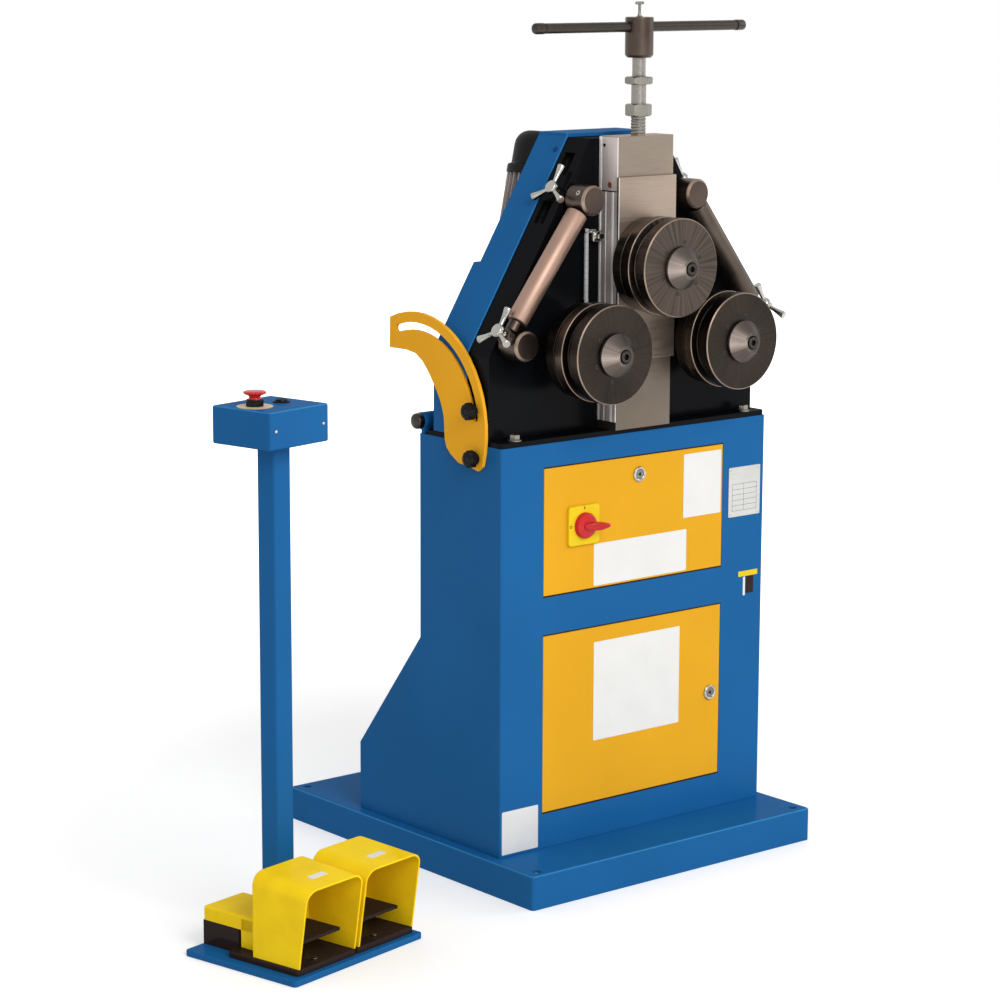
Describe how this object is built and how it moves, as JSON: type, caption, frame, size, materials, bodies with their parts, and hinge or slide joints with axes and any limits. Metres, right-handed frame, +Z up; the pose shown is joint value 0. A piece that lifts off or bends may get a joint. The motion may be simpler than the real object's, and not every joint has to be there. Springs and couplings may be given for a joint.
{
  "type": "ring roller",
  "caption": "Three-roll ring and section bending machine on a cabinet, with a tilting roll head, screw-set upper roll and a foot-pedal pedestal.",
  "frame": {"origin": "centre of the underside of the machine's base, on the floor", "axes": "+Z up, the rolls face -Y, +X to the machine's right as seen from the operator's side"},
  "size_m": [1.1469, 0.7078, 1.3999],
  "materials": {
    "blue_paint": "smooth blue machine enamel, semi-gloss",
    "yellow_paint": "warm yellow powder coat, semi-gloss",
    "black_paint": "black enamel, semi-gloss",
    "machined_steel": "ground and turned steel",
    "dark_steel": "turned dark steel with an oil film",
    "chrome": "bright nickel plate",
    "bronze": "turned bronze",
    "grey_casting": "painted grey casting",
    "black_plastic": "moulded black plastic, satin",
    "red_plastic": "glossy red plastic",
    "yellow_plastic": "moulded signal-yellow plastic",
    "grey_plastic": "light grey moulded plastic",
    "white_plastic": "off-white enamelled rod"
  },
  "bodies": {
    "root": {"base_plate": "blue_paint", "cabinet_shell": "blue_paint", "electrical_tray": "grey_plastic", "hinge_shaft": "machined_steel", "quadrant_plate": "yellow_paint", "pedestal_stand": "blue_paint", "control_box": "blue_paint", "left_pedal_base": "black_plastic", "left_pedal_hood": "yellow_plastic", "right_pedal_base": "black_plastic", "right_pedal_hood": "yellow_plastic"},
    "electrical_panel": {"electrical_panel": "yellow_paint", "main_switch_plate": "yellow_plastic"},
    "panel_lock": {"panel_lock": "chrome"},
    "main_switch": {"main_switch_knob": "red_plastic"},
    "tool_door": {"tool_door": "yellow_paint"},
    "door_lock": {"door_lock": "chrome"},
    "quadrant_foot_knob": {"quadrant_foot_knob": "black_plastic"},
    "head": {"head_base_plate": "black_paint", "head_housing": "black_paint", "bearing_plate": "dark_steel", "gear_cover": "blue_paint", "column_block": "machined_steel", "spindle_nut": "bronze", "depth_gauge": "white_plastic", "reducer_housing": "grey_casting", "drive_motor": "grey_casting", "motor_fan_cowl": "black_plastic"},
    "head_clamp_knob": {"head_clamp_knob": "black_plastic"},
    "ram": {"ram": "machined_steel", "ram_front_plate": "machined_steel"},
    "spindle": {"spindle": "machined_steel", "stop_nut": "machined_steel", "lock_nut": "machined_steel", "t_handle_hub": "dark_steel", "tommy_bar": "dark_steel"},
    "upper_roll": {"upper_roll_shaft": "machined_steel", "upper_roll": "dark_steel", "upper_roll_nut": "machined_steel"},
    "left_roll": {"left_roll_shaft": "machined_steel", "left_roll": "dark_steel", "left_roll_nut": "machined_steel", "left_roll_gear": "dark_steel"},
    "right_roll": {"right_roll_shaft": "machined_steel", "right_roll": "dark_steel", "right_roll_nut": "machined_steel", "right_roll_gear": "dark_steel"},
    "pinion": {"pinion_shaft": "dark_steel"},
    "left_guide": {"left_guide_bracket": "dark_steel"},
    "left_guide_roller": {"left_guide_roller": "machined_steel"},
    "left_lower_clamp": {"left_lower_clamp": "chrome"},
    "left_upper_clamp": {"left_upper_clamp": "chrome"},
    "right_guide": {"right_guide_bracket": "dark_steel"},
    "right_guide_roller": {"right_guide_roller": "machined_steel"},
    "right_lower_clamp": {"right_lower_clamp": "chrome"},
    "right_upper_clamp": {"right_upper_clamp": "chrome"},
    "emergency_button": {"emergency_button": "red_plastic"},
    "start_button": {"start_button": "black_plastic"},
    "left_pedal": {"left_pedal": "dark_steel"},
    "right_pedal": {"right_pedal": "dark_steel"}
  },
  "joints": [
    {"name": "head_tilt", "type": "hinge", "parent": "root", "child": "head", "pos_m": [0, -0.014, 0.736], "axis": [-1, 0, 0], "range_deg": [0, 90]},
    {"name": "ram_slide", "type": "slide", "parent": "head", "child": "ram", "axis": [0, 0, -1], "range_m": [0, 0.03]},
    {"name": "spindle_turn", "type": "hinge", "parent": "ram", "child": "spindle", "pos_m": [0, -0.2128, 1.2], "axis": [0, 0, -1], "range_deg": [0, 2160]},
    {"name": "upper_roll_spin", "type": "hinge", "parent": "ram", "child": "upper_roll", "pos_m": [0, -0.28, 0.9887], "axis": [0, -1, 0], "continuous": true},
    {"name": "left_roll_spin", "type": "hinge", "parent": "head", "child": "left_roll", "pos_m": [-0.136, -0.28, 0.862], "axis": [0, -1, 0], "continuous": true},
    {"name": "right_roll_spin", "type": "hinge", "parent": "head", "child": "right_roll", "pos_m": [0.136, -0.28, 0.862], "axis": [0, -1, 0], "continuous": true},
    {"name": "pinion_spin", "type": "hinge", "parent": "head", "child": "pinion", "pos_m": [0, -0.12, 0.862], "axis": [0, -1, 0], "continuous": true},
    {"name": "left_guide_slide", "type": "slide", "parent": "head", "child": "left_guide", "axis": [0, -1, 0], "range_m": [-0.005, 0.025]},
    {"name": "left_guide_roller_spin", "type": "hinge", "parent": "left_guide", "child": "left_guide_roller", "pos_m": [-0.26779, -0.215, 0.8896], "axis": [0.604, 0, 0.7969], "continuous": true},
    {"name": "left_lower_clamp_turn", "type": "hinge", "parent": "left_guide", "child": "left_lower_clamp", "pos_m": [-0.27665, -0.215, 0.89504], "axis": [-0.8525, 0, 0.5228], "range_deg": [0, 180]},
    {"name": "left_upper_clamp_turn", "type": "hinge", "parent": "head", "child": "left_upper_clamp", "pos_m": [-0.12993, -0.168, 1.1056], "axis": [-0.8525, 0, 0.5228], "range_deg": [0, 180]},
    {"name": "right_guide_slide", "type": "slide", "parent": "head", "child": "right_guide", "axis": [0, -1, 0], "range_m": [-0.005, 0.025]},
    {"name": "right_guide_roller_spin", "type": "hinge", "parent": "right_guide", "child": "right_guide_roller", "pos_m": [0.26779, -0.215, 0.8896], "axis": [-0.604, 0, 0.7969], "continuous": true},
    {"name": "right_lower_clamp_turn", "type": "hinge", "parent": "right_guide", "child": "right_lower_clamp", "pos_m": [0.27665, -0.215, 0.89504], "axis": [0.8525, 0, 0.5228], "range_deg": [0, 180]},
    {"name": "right_upper_clamp_turn", "type": "hinge", "parent": "head", "child": "right_upper_clamp", "pos_m": [0.12993, -0.168, 1.1056], "axis": [0.8525, 0, 0.5228], "range_deg": [0, 180]},
    {"name": "head_clamp_knob_turn", "type": "hinge", "parent": "head", "child": "head_clamp_knob", "pos_m": [-0.3, -0.16296, 0.77094], "axis": [-1, 0, 0], "range_deg": [0, 360]},
    {"name": "quadrant_foot_knob_turn", "type": "hinge", "parent": "root", "child": "quadrant_foot_knob", "pos_m": [-0.3, -0.1669, 0.69617], "axis": [-1, 0, 0], "range_deg": [0, 360]},
    {"name": "electrical_panel_swing", "type": "hinge", "parent": "root", "child": "electrical_panel", "pos_m": [0, -0.2209, 0.4704], "axis": [1, 0, 0], "range_deg": [0, 90]},
    {"name": "panel_lock_turn", "type": "hinge", "parent": "electrical_panel", "child": "panel_lock", "pos_m": [0.0034, -0.215, 0.6464], "axis": [0, -1, 0], "range_deg": [0, 90]},
    {"name": "main_switch_turn", "type": "hinge", "parent": "electrical_panel", "child": "main_switch", "pos_m": [-0.1174, -0.24, 0.5778], "axis": [0, 1, 0], "range_deg": [0, 90]},
    {"name": "tool_door_swing", "type": "hinge", "parent": "root", "child": "tool_door", "pos_m": [-0.1971, -0.2209, 0.26], "axis": [0, 0, -1], "range_deg": [0, 110]},
    {"name": "door_lock_turn", "type": "hinge", "parent": "tool_door", "child": "door_lock", "pos_m": [0.1672, -0.215, 0.2575], "axis": [0, -1, 0], "range_deg": [0, 90]},
    {"name": "emergency_press", "type": "slide", "parent": "root", "child": "emergency_button", "axis": [0, 0, -1], "range_m": [0, 0.005]},
    {"name": "start_press", "type": "slide", "parent": "root", "child": "start_button", "axis": [0, 0, -1], "range_m": [0, 0.004], "stiffness_N_per_m": 500, "springref_m": -0.004},
    {"name": "left_pedal_press", "type": "hinge", "parent": "root", "child": "left_pedal", "pos_m": [-0.73855, -0.26445, 0.046], "axis": [0.9781, 0.2079, 0], "range_deg": [0, 12], "stiffness_Nm_per_rad": 4, "springref_deg": -8.59},
    {"name": "right_pedal_press", "type": "hinge", "parent": "root", "child": "right_pedal", "pos_m": [-0.61041, -0.23722, 0.046], "axis": [0.9781, 0.2079, 0], "range_deg": [0, 12], "stiffness_Nm_per_rad": 4, "springref_deg": -8.59}
  ],
  "couplings": [
    {"joint": "ram_slide", "follows": "spindle_turn", "m_per_rad": 0.00079577},
    {"joint": "right_roll_spin", "follows": "left_roll_spin", "ratio": 1},
    {"joint": "pinion_spin", "follows": "left_roll_spin", "ratio": -3}
  ]
}
